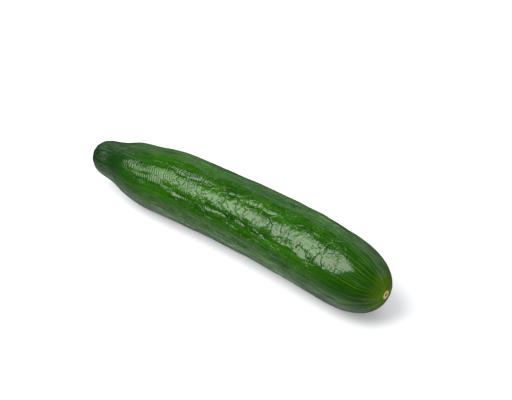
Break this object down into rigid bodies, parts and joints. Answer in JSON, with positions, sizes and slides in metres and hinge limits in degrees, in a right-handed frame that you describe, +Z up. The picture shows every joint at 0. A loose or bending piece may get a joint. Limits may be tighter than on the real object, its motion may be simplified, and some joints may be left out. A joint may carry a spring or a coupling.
{
  "type": "cucumber",
  "caption": "Long, slightly bent greenhouse cucumber with a narrow neck, a cut stem stub and a rounded blossom end, lying on its side.",
  "frame": {"origin": "on the surface that the cucumber rests on, under the middle of its bounding box", "axes": "+X along the cucumber from the cut stem to the blossom end, +Y to the outer side of its bend, +Z up"},
  "size_m": [0.2842, 0.0584, 0.0536],
  "materials": {
    "skin": "waxy dark green skin with light green streaks and fine wrinkles",
    "stem": "pale green cut stem with a dry, corky rim"
  },
  "bodies": {
    "root": {"fruit": "skin", "stem_stub": "stem"}
  },
  "joints": []
}
